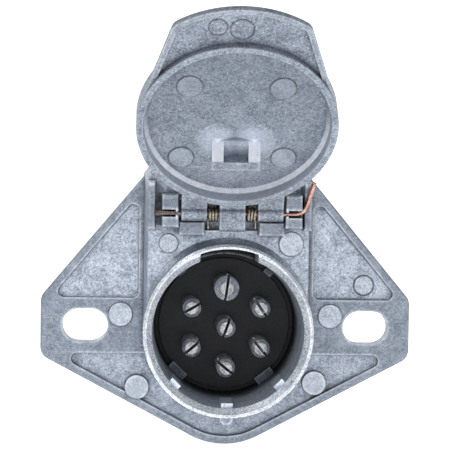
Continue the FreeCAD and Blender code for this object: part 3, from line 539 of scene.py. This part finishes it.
def down_the_bore(tree, radius, parts):
    """Two masks: the bore's wall behind the mouth's cone, and the keyway's far end."""
    within = ramp(tree, radius, 0.0214, 0.0212)
    wall = sums(tree, "MULTIPLY", within, ramp(tree, parts["Y"], -0.0214, -0.0208))
    across = sums(tree, "ABSOLUTE", parts["X"])
    key = sums(tree, "MULTIPLY", ramp(tree, across, 0.0076, 0.0074), ramp(tree, parts["Z"], 0.0140, 0.0150))
    key = sums(tree, "MULTIPLY", key, within)
    key = sums(tree, "MULTIPLY", key, ramp(tree, parts["Y"], -0.0226, -0.0200))
    return sums(tree, "MAXIMUM", wall, key), key


def rubbed_round(tree, parts):
    """Coordinates that run round the bore and along it, for lines that plugs rub."""
    angle = sums(tree, "ARCTAN2", parts["Z"], parts["X"])
    run = sums(tree, "MULTIPLY", angle, 0.004)
    return add(tree, "CombineXYZ", {"X": run, "Y": parts["Y"], "Z": 0.0}).outputs[0]


print("pads on the housing:", len(HOUSING_PADS), "and in the lid:", len(SHUT_LID_PADS))

# %% [markdown]
# ## Die-cast zinc
# The housing and the lid are the same alloy. The first function gives the bare metal its cloudy
# skin, and the second adds painted shade, wear with a painted edge highlight, and a roughness once
# a casting's own marks are on.

# %% Cast zinc
# The dark colour of painted shade.
SHADE_DARK = (0.030, 0.035, 0.043, 1)
DULL_AND_SHADE = (0.10, 0.12, 0.15, 1)
BRIGHT = (0.72, 0.76, 0.81, 1)


def cast_start(name, light, dark, corner):
    """A metal with cloudy tones, dark flecks and a sparkle, and its masks for wear with a painted edge
    highlight and for painted shade.
    """
    material, tree, shader, place = start(name, 0.82)
    skin = use(tree, cast_skin, {"Vector": place, "Grains": 2300.0, "Clouds": 210.0})
    marks = use(tree, wear_and_shade, {"Vector": place, "Edge": 0.0010, "Corner": corner})
    colour = blend_colour(tree, skin["Tone"], dark, light)
    colour = tinted(tree, colour, skin["Flecks"], 0.38, (0.13, 0.15, 0.18, 1))
    colour = tinted(tree, colour, skin["Sparkle"], 0.45, (0.80, 0.84, 0.90, 1))
    return material, tree, shader, place, skin, marks, colour


def cast_end(tree, shader, skin, colour, painted_shade, wear_and_highlight, rough):
    """Painted shade over the colour, wear and a painted edge highlight over that, and a roughness to match.
    """
    colour = blend_colour(tree, painted_shade, colour, SHADE_DARK)
    colour = blend_colour(tree, wear_and_highlight, colour, BRIGHT)
    tree.links.new(colour, shader.inputs["Base Color"])
    duller = sums(tree, "MULTIPLY_ADD", skin["Tone"], -0.12, rough + 0.06)
    duller = sums(tree, "MULTIPLY_ADD", painted_shade, 0.25, duller)
    tree.links.new(sums(tree, "MULTIPLY_ADD", wear_and_highlight, -0.2, duller, clamp=True), shader.inputs["Roughness"])


print("casting helpers ready")

# %% [markdown]
# ## The housing's zinc
# The raised band between the slots and the foot is handled most, so it is duller than the sunk
# panels. The housing also gets painted shade towards its bottom and in the hinge well. Inside the
# bore the wall gets painted shade that deepens towards the back, the keyway's far end is painted
# near black as shade, and lines run round the wall where plugs rub. The rim and the cone in front
# of it are rubbed bright and pitted, and their near-white tone is partly a painted highlight.

# %% Housing zinc
BAND_FACE = (-0.0049, -0.0046)
HINGE_WELL = (0.0235, 0.0365)
KEYWAY_SHADE = (0.006, 0.006, 0.007, 1)
zinc_housing, tree, shader, place, skin, marks, colour = cast_start(
    "zinc_housing", (0.58, 0.63, 0.71, 1), (0.21, 0.245, 0.30, 1), 0.0030)
lines = use(tree, scratches, {"Vector": place, "Stretch": (180.0, 900.0, 2600.0), "Amount": 0.35})
radius, parts = away_from_axis(tree, place)
raised = between(tree, parts["Y"], *BAND_FACE, 0.0005)
# Painted shade: towards the bottom the housing turns up to 0.36 of the way to the dull grey.
low = ramp(tree, parts["Z"], 0.012, -0.034, 0.0, 0.36)
dull_and_shade = sums(tree, "MAXIMUM", sums(tree, "MULTIPLY", raised, 0.62), low)
# Painted shade in the hinge well, 0.60 of the way to the dull grey.
hinge_well_shade = sums(tree, "MULTIPLY", between(tree, parts["Z"], *HINGE_WELL, 0.0004),
             ramp(tree, parts["Y"], -0.0153, -0.0158))
dull_and_shade = sums(tree, "MAXIMUM", dull_and_shade, sums(tree, "MULTIPLY", hinge_well_shade, 0.60))
colour = blend_colour(tree, dull_and_shade, colour, DULL_AND_SHADE)
line, top = pad_marks(tree, place, HOUSING_PADS, ramp(tree, parts["Y"], -0.0030, -0.0034))
colour = tinted(tree, colour, top, 0.22, BRIGHT)
inside, keyway = down_the_bore(tree, radius, parts)
rubbed = use(tree, scratches, {"Vector": rubbed_round(tree, parts), "Stretch": (500.0, 2800.0, 1.0),
                               "Amount": 0.9})
bore_wall_and_shade = blend_colour(tree, skin["Tone"], (0.29, 0.33, 0.40, 1), (0.75, 0.82, 0.93, 1))
bore_wall_and_shade = tinted(tree, bore_wall_and_shade, rubbed["Lines"], 0.7, (0.85, 0.89, 0.95, 1))
# Painted shade deepens towards the back of the bore, and the keyway's far end is painted near black as
# shade.
deep_shade = ramp(tree, parts["Y"], -0.007, 0.003, 0.0, 0.92)
bore_wall_and_shade = blend_colour(tree, deep_shade, bore_wall_and_shade, SHADE_DARK)
bore_wall_and_shade = tinted(tree, bore_wall_and_shade, keyway, ramp(tree, parts["Y"], -0.010, -0.004), KEYWAY_SHADE)
colour = blend_colour(tree, inside, colour, bore_wall_and_shade)
rim = sums(tree, "MULTIPLY", ramp(tree, parts["Y"], -0.0207, -0.0213), ramp(tree, radius, 0.0226, 0.0222))
rim = sums(tree, "MULTIPLY", rim, sums(tree, "SUBTRACT", 1.0, keyway))
# The rim's near-white tone is partly rubbed metal and partly a painted highlight; its front face is turned
# up to 0.24 of the way darker.
pitted_highlight = blend_colour(tree, ramp(tree, skin["Tone"], 0.15, 0.65), (0.48, 0.53, 0.60, 1),
                      (0.97, 0.99, 1.0, 1))
front = ramp(tree, parts["Y"], -0.0226, -0.0229, 0.0, 0.24)
pitted_highlight = blend_colour(tree, front, pitted_highlight, (0.33, 0.37, 0.43, 1))
pitted_highlight = tinted(tree, pitted_highlight, skin["Flecks"], 0.7, (0.12, 0.14, 0.17, 1))
colour = tinted(tree, colour, rim, 0.95, pitted_highlight)
# Painted shade in corners, creases and round the pads, eased in the bore and on the rim; edges get wear and
# a painted highlight, with scratches.
painted_shade = sums(tree, "MAXIMUM", marks["Corner Shade"], sums(tree, "MULTIPLY", marks["Crease Shade"], 0.9))
painted_shade = sums(tree, "MULTIPLY", painted_shade, sums(tree, "MULTIPLY_ADD", inside, -0.6, 0.80))
painted_shade = sums(tree, "MULTIPLY", painted_shade, sums(tree, "MULTIPLY_ADD", rim, -0.8, 1.0))
painted_shade = sums(tree, "MAXIMUM", painted_shade, sums(tree, "MULTIPLY", line, 0.62))
wear_and_highlight = sums(tree, "MAXIMUM", marks["Wear And Highlight"], sums(tree, "MULTIPLY", lines["Lines"], 0.3))
wear_and_highlight = sums(tree, "MULTIPLY", wear_and_highlight, sums(tree, "MULTIPLY_ADD", inside, -0.20, 0.70))
hidden = sums(tree, "MULTIPLY", inside, deep_shade)
wear_and_highlight = sums(tree, "MULTIPLY", wear_and_highlight, sums(tree, "MULTIPLY_ADD", hidden, -0.85, 1.0))
wear_and_highlight = sums(tree, "MULTIPLY", wear_and_highlight, sums(tree, "MULTIPLY_ADD", rim, -0.75, 1.0))
cast_end(tree, shader, skin, colour, painted_shade, wear_and_highlight, 0.44)
bumped(tree, shader, skin["Height"], 0.65, 0.00014, marks["Soft Normal"])
print("housing zinc nodes:", len(tree.nodes))

# %% [markdown]
# ## The lid's zinc
# The lid's tones are darker than the housing's, as painted shade on its underside. Its texture is
# read with the lid turned shut about the hinge, where its pads and its catch are simple to find.
# Its floor gets painted shade low down and painted light higher up, and the catch's two ribs, a
# halo round them and the cup's wall near the hinge get a painted highlight, with less painted
# shade there. The catch's two ribs are rubbed
# bright by plugs, and so is the cup's wall near the hinge.

# %% Lid zinc
# Darker tones than the housing's, as painted shade.
zinc_lid, tree, shader, place, skin, marks, colour = cast_start(
    "zinc_lid", (0.40, 0.44, 0.505, 1), (0.14, 0.162, 0.20, 1), 0.0016)
shut = add(tree, "VectorRotate", {"Vector": place, "Center": tuple(HINGE * MM), "Angle": LID_OPEN},
           rotation_type="X_AXIS").outputs[0]
parts = add(tree, "SeparateXYZ", {0: shut}).outputs
line, top = pad_marks(tree, shut, SHUT_LID_PADS, between(tree, parts["Y"], -0.0240, -0.0228, 0.0002))
colour = tinted(tree, colour, top, 0.30, (0.50, 0.54, 0.60, 1))
across = sums(tree, "SUBTRACT", parts["X"], LID_MIDDLE[0] * MM)
up = sums(tree, "SUBTRACT", parts["Z"], LID_MIDDLE[2] * MM)
spoke = add(tree, "CombineXYZ", {"X": across, "Z": up}).outputs[0]
off_middle = add(tree, "VectorMath", {0: spoke}, operation="LENGTH").outputs["Value"]
floor = sums(tree, "MULTIPLY", ramp(tree, off_middle, 0.0223, 0.0218),
             ramp(tree, parts["Y"], -0.0245, -0.0240))
# Painted shade on the floor, darker towards its bottom, and painted light towards its top.
shade = ramp(tree, parts["Z"], -0.024, 0.020, 0.44, 0.20)
colour = blend_colour(tree, sums(tree, "MULTIPLY", floor, shade), colour, DULL_AND_SHADE)
painted_light_above = ramp(tree, parts["Z"], -0.002, 0.018, 0.0, 0.08)
colour = blend_colour(tree, sums(tree, "MULTIPLY", floor, painted_light_above), colour, (0.62, 0.67, 0.75, 1))
# Painted highlight on the cup's wall near the hinge.
wall = sums(tree, "MULTIPLY", between(tree, off_middle, 0.0216, 0.0226, 0.0003),
            between(tree, parts["Y"], -0.0232, -0.0198, 0.0003))
wall = sums(tree, "MULTIPLY", wall, ramp(tree, parts["Z"], -0.006, 0.006))
colour = tinted(tree, colour, wall, 0.40, (0.90, 0.93, 0.98, 1))
# Painted highlight on the catch's two ribs.
rib = between(tree, sums(tree, "ABSOLUTE", across), 0.0031, 0.0058, 0.0002)
rib = sums(tree, "MULTIPLY", rib, between(tree, parts["Z"], 0.0058, 0.0100, 0.0003))
rib = sums(tree, "MULTIPLY", rib, between(tree, parts["Y"], -0.0222, -0.0180, 0.0006))
colour = tinted(tree, colour, rib, 0.55, (0.85, 0.88, 0.93, 1))
# A painted halo of light on the swelling round the ribs.
beside = sums(tree, "SUBTRACT", sums(tree, "ABSOLUTE", across), RIB_OFF * MM)
above = sums(tree, "SUBTRACT", parts["Z"], 0.0072)
reach = add(tree, "CombineXYZ", {"X": beside, "Z": above}).outputs[0]
reach = add(tree, "VectorMath", {0: reach}, operation="LENGTH").outputs["Value"]
painted_halo = sums(tree, "MULTIPLY", floor, ramp(tree, reach, 0.0062, 0.0026))
painted_halo = sums(tree, "MULTIPLY", painted_halo, ramp(tree, parts["Y"], -0.0205, -0.0220))
colour = tinted(tree, colour, painted_halo, 0.36, (0.60, 0.67, 0.78, 1))
# Painted shade in corners and creases, eased on the lit wall and the halo, and painted shade round the pads;
# edges get wear and a painted highlight.
painted_shade = sums(tree, "MAXIMUM", sums(tree, "MULTIPLY", marks["Corner Shade"], 0.7), marks["Crease Shade"])
less_shade = sums(tree, "MAXIMUM", wall, sums(tree, "MULTIPLY", painted_halo, 0.8))
painted_shade = sums(tree, "MULTIPLY", painted_shade, sums(tree, "MULTIPLY_ADD", less_shade, -0.55, 0.60))
painted_shade = sums(tree, "MAXIMUM", painted_shade, sums(tree, "MULTIPLY", line, 0.65))
wear_and_highlight = sums(tree, "MULTIPLY", marks["Wear And Highlight"], 0.42)
cast_end(tree, shader, skin, colour, painted_shade, wear_and_highlight, 0.48)
bumped(tree, shader, skin["Height"], 0.65, 0.00014, marks["Soft Normal"])
print("lid zinc nodes:", len(tree.nodes))

# %% [markdown]
# ## Cast marks
# The thin raised rings never get rubbed. They are the castings' metal in darker tones, with
# painted shade in their corners, so that they read as dark outlines.

# %% Cast marks
cast_marks, tree, shader, place, skin, marks, colour = cast_start(
    "cast_marks", (0.24, 0.265, 0.31, 1), (0.09, 0.10, 0.125, 1), 0.0016)
cast_end(tree, shader, skin, colour, sums(tree, "MULTIPLY", marks["Corner Shade"], 0.6), 0.0, 0.5)
bumped(tree, shader, skin["Height"], 0.5, 0.0001)
print("cast mark nodes:", len(tree.nodes))

# %% [markdown]
# ## Black insulator
# The insulator is a hard black moulding. It is not quite black: a fine grain and a thin film of
# dust lift it to a very dark grey. Painted shade darkens its corners round the contacts, and its
# edges are a little lighter, partly worn and partly a painted highlight.

# %% Black moulding
moulding, tree, shader, place = start("black_moulding", 0.0, 0.3)
skin = use(tree, cast_skin, {"Vector": place, "Grains": 2600.0, "Clouds": 260.0})
marks = use(tree, wear_and_shade, {"Vector": place, "Edge": 0.0004, "Corner": 0.0022})
colour = blend_colour(tree, skin["Tone"], (0.004, 0.004, 0.005, 1), (0.024, 0.024, 0.028, 1))
colour = tinted(tree, colour, marks["Corner Shade"], 0.85, (0.003, 0.003, 0.0035, 1))
colour = tinted(tree, colour, marks["Wear And Highlight"], 0.25, (0.09, 0.09, 0.10, 1))
tree.links.new(colour, shader.inputs["Base Color"])
tree.links.new(sums(tree, "MULTIPLY_ADD", skin["Tone"], 0.15, 0.42), shader.inputs["Roughness"])
bumped(tree, shader, skin["Height"], 0.6, 0.0001, marks["Soft Normal"])
print("moulding nodes:", len(tree.nodes))

# %% [markdown]
# ## Plated contacts
# Each contact is turned from brass bar and tinned. The lathe leaves rings along it, and plugging
# and unplugging rubs the tip bright while the shank goes dull.

# %% Contact plate
plate, tree, shader, place = start("contact_plate", 0.65)
skin = use(tree, cast_skin, {"Vector": place, "Grains": 2400.0, "Clouds": 500.0})
marks = use(tree, wear_and_shade, {"Vector": place, "Edge": 0.0004, "Corner": 0.0012})
turned = use(tree, scratches, {"Vector": place, "Stretch": (60.0, 6000.0, 60.0), "Amount": 0.9})
depth = add(tree, "SeparateXYZ", {0: place}).outputs["Y"]
tip = ramp(tree, depth, -0.0096, -0.0108)
colour = blend_colour(tree, skin["Tone"], (0.22, 0.225, 0.24, 1), (0.50, 0.51, 0.54, 1))
colour = tinted(tree, colour, turned["Lines"], 0.5, (0.85, 0.86, 0.88, 1))
worn_tip = blend_colour(tree, ramp(tree, skin["Height"], 0.45, 0.75), (0.12, 0.125, 0.13, 1),
                        (0.56, 0.57, 0.59, 1))
colour = tinted(tree, colour, tip, 0.85, worn_tip)
# Painted shade in the corners; the edges are lighter, partly worn and partly a painted highlight.
colour = tinted(tree, colour, marks["Corner Shade"], 0.45, (0.03, 0.03, 0.034, 1))
colour = tinted(tree, colour, marks["Wear And Highlight"], 0.7, (0.95, 0.96, 0.97, 1))
tree.links.new(colour, shader.inputs["Base Color"])
tree.links.new(sums(tree, "MULTIPLY_ADD", skin["Tone"], 0.16, 0.36), shader.inputs["Roughness"])
bumped(tree, shader, turned["Lines"], 0.3, 0.00006, marks["Soft Normal"])
print("contact nodes:", len(tree.nodes))

# %% [markdown]
# ## Copper-washed hinge pin
# The pin is steel wire with a copper wash. The wash is bright and pink on the right, where it is
# new, and has gone to dark bronze on the left.

# %% Copper wire
copper, tree, shader, place = start("copper_wire", 1.0)
skin = use(tree, cast_skin, {"Vector": place, "Grains": 1800.0, "Clouds": 420.0})
marks = use(tree, wear_and_shade, {"Vector": place, "Edge": 0.0004, "Corner": 0.002})
drawn = use(tree, scratches, {"Vector": place, "Stretch": (150.0, 3200.0, 3200.0), "Amount": 0.6})
side = add(tree, "SeparateXYZ", {0: place}).outputs["X"]
fresh = blend_colour(tree, skin["Tone"], (0.32, 0.145, 0.10, 1), (0.72, 0.42, 0.335, 1))
bronze = blend_colour(tree, skin["Tone"], (0.07, 0.055, 0.05, 1), (0.22, 0.18, 0.165, 1))
colour = blend_colour(tree, ramp(tree, side, -0.010, 0.010), bronze, fresh)
colour = tinted(tree, colour, drawn["Lines"], 0.5, (0.90, 0.72, 0.64, 1))
# Painted shade in the corners.
colour = tinted(tree, colour, marks["Corner Shade"], 0.8, (0.05, 0.032, 0.028, 1))
tree.links.new(colour, shader.inputs["Base Color"])
tree.links.new(sums(tree, "MULTIPLY_ADD", skin["Tone"], 0.15, 0.24), shader.inputs["Roughness"])
bumped(tree, shader, skin["Height"], 0.3, 0.00005)
print("copper nodes:", len(tree.nodes))

# %% [markdown]
# ## Spring wire
# Spring steel with a yellow passivate: mostly grey-gold, brighter where the wire faces the light,
# and turned brown by painted shade where the coils touch.

# %% Spring wire
gold, tree, shader, place = start("spring_wire", 1.0)
skin = use(tree, cast_skin, {"Vector": place, "Grains": 2200.0, "Clouds": 700.0})
marks = use(tree, wear_and_shade, {"Vector": place, "Edge": 0.0003, "Corner": 0.0012})
colour = blend_colour(tree, skin["Tone"], (0.16, 0.14, 0.105, 1), (0.42, 0.385, 0.31, 1))
colour = tinted(tree, colour, marks["Corner Shade"], 0.85, (0.06, 0.045, 0.03, 1))
tree.links.new(colour, shader.inputs["Base Color"])
tree.links.new(sums(tree, "MULTIPLY_ADD", skin["Tone"], 0.12, 0.20), shader.inputs["Roughness"])
bumped(tree, shader, skin["Height"], 0.2, 0.00003)
print("spring nodes:", len(tree.nodes))

# %% [markdown]
# ## Steel at the back
# The retaining ring is dark phosphated spring steel, and the set screws are zinc-plated, with
# bright slots where a driver has turned them. Both are the same recipe with other colours.

# %% Plain steels


def plain_steel(name, light, dark, rough):
    """Grained steel with worn edges that also get a painted highlight, and painted shade in its corners."""
    material, tree, shader, place = start(name, 1.0)
    skin = use(tree, cast_skin, {"Vector": place, "Grains": 2600.0, "Clouds": 600.0})
    marks = use(tree, wear_and_shade, {"Vector": place, "Edge": 0.0003, "Corner": 0.0015})
    lines = use(tree, scratches, {"Vector": place, "Stretch": (900.0, 2400.0, 300.0), "Amount": 0.5})
    colour = blend_colour(tree, skin["Tone"], dark, light)
    colour = tinted(tree, colour, lines["Lines"], 0.3, (0.75, 0.76, 0.78, 1))
    colour = tinted(tree, colour, marks["Corner Shade"], 0.8, (0.02, 0.02, 0.022, 1))
    colour = tinted(tree, colour, marks["Wear And Highlight"], 0.7, (0.80, 0.81, 0.83, 1))
    tree.links.new(colour, shader.inputs["Base Color"])
    tree.links.new(sums(tree, "MULTIPLY_ADD", skin["Tone"], 0.15, rough), shader.inputs["Roughness"])
    bumped(tree, shader, skin["Height"], 0.25, 0.00004, marks["Soft Normal"])
    return material


ring_steel = plain_steel("ring_steel", (0.16, 0.16, 0.17, 1), (0.06, 0.06, 0.065, 1), 0.42)
screw_steel = plain_steel("screw_steel", (0.62, 0.64, 0.68, 1), (0.34, 0.35, 0.38, 1), 0.26)
print("steels:", ring_steel.name, screw_steel.name)

# %% [markdown]
# ## Put the finishes on
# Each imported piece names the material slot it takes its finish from, so the finishes are handed
# out by that name, and the new pieces take theirs by hand.

# %% Hand out the finishes
FINISHES = {
    "zinc_housing": zinc_housing, "zinc_lid": zinc_lid, "black_moulding": moulding,
    "contact_plate": plate, "copper_wire": copper, "spring_wire": gold,
    "ring_steel": ring_steel, "screw_steel": screw_steel,
}
for part in frame["record"]["subparts"]:
    piece = nodes[part["node"]]
    piece.data.materials.clear()
    piece.data.materials.append(FINISHES[part["material_slot"]])
swelling.data.materials.append(zinc_lid)
pin.data.materials.append(copper)
for piece, finish in [(s, gold) for s in springs] + [(r, cast_marks) for r in rings + [panel_mark]]:
    piece.data.materials.append(finish)

# %% [markdown]
# ## The studio
# A white sweep runs under the socket and up behind it, as one curved sheet, so that there is no
# line between floor and wall. It is worked out as a profile of a floor, a quarter circle and a
# wall, carried sideways.

# %% White sweep
FLOOR_Z = -33.5
FAR = 4000.0
CURVE = 600.0


def sweep_points():
    """A quarter circle of radius 600 joins the floor to the wall; every profile point is carried
    from x = -4000 to x = 4000."""
    a = np.linspace(-np.pi / 2, 0, 24)
    y = np.concatenate([[-FAR], FAR - CURVE + CURVE * np.cos(a), [FAR]])
    z = np.concatenate([[FLOOR_Z], FLOOR_Z + CURVE + CURVE * np.sin(a), [FAR]])
    x = np.array([-FAR, FAR])[:, None]
    return np.stack([x + 0 * y, y + 0 * x, z + 0 * x], -1)


grid = sweep_points()
columns = grid.shape[1]
k = np.arange(columns - 1)
faces = np.stack([k + columns, k + columns + 1, k + 1, k], -1).tolist()
sweep_mesh = bpy.data.meshes.new("sweep")
sweep_mesh.from_pydata((grid.reshape(-1, 3) * MM).tolist(), [], faces)
sweep_mesh.shade_smooth()
sweep = bpy.data.objects.new("sweep", sweep_mesh)
bpy.context.scene.collection.objects.link(sweep)
paper, tree, shader, place = start("white_paper", 0.0, 0.2)
shader.inputs["Base Color"].default_value = (0.93, 0.93, 0.94, 1)
shader.inputs["Roughness"].default_value = 0.9
shader.inputs["Emission Color"].default_value = (1, 1, 1, 1)
shader.inputs["Emission Strength"].default_value = 0.66
sweep_mesh.materials.append(paper)
print("sweep faces:", len(sweep_mesh.polygons))

# %% [markdown]
# ## Light
# A product like this is lit softly from all round. The world gives an even white, one large panel
# above and to the left models the shapes, a second fills from the right, and a low one in front
# lifts the lid's underside.

# %% World and lamps
scene = bpy.context.scene
world = bpy.data.worlds.new("studio")
scene.world = world
world.use_nodes = True
sky = world.node_tree.nodes["Background"]
sky.inputs["Color"].default_value = (0.93, 0.96, 1.0, 1)
sky.inputs["Strength"].default_value = 0.42


def panel_lamp(name, place, target, size, power):
    """A square area lamp that faces a point. Places are in metres and power in watts."""
    data = bpy.data.lights.new(name, "AREA")
    data.size = size
    data.energy = power
    lamp = bpy.data.objects.new(name, data)
    lamp.location = place
    lamp.rotation_euler = (Vector(target) - Vector(place)).to_track_quat("-Z", "Y").to_euler()
    scene.collection.objects.link(lamp)
    return lamp


lamps = [
    panel_lamp("key", (-0.45, -0.45, 0.65), (0, 0, 0.02), 0.35, 3.4),
    panel_lamp("fill", (0.60, -0.50, 0.25), (0, 0, 0.02), 0.45, 1.3),
    panel_lamp("low", (-0.05, -0.70, -0.02), (0, 0, 0.05), 0.30, 0.8),
]
scene.view_settings.view_transform = "Standard"
scene.view_settings.look = "None"
print("lamps:", [lamp.name for lamp in lamps])

# %% [markdown]
# ## The camera
# The camera stands half a metre in front, a little above and to the left of the bore, with a long
# lens, and is rolled by less than a degree.

# %% Camera
camera_data = bpy.data.cameras.new("camera")
camera_data.lens = 149.2
camera_data.sensor_width = 36.0
camera_data.clip_start = 0.01
camera = bpy.data.objects.new("camera", camera_data)
stand = Vector((-0.0214, -0.4912, 0.0474))
aim = Vector((-0.0009, -0.0230, 0.0268))
turn = (aim - stand).to_track_quat("-Z", "Y").to_matrix() @ Matrix.Rotation(math.radians(0.83), 3, "Z")
camera.matrix_world = Matrix.Translation(stand) @ turn.to_4x4()
scene.collection.objects.link(camera)
scene.camera = camera
print("camera distance in mm:", round((aim - stand).length / MM, 1))
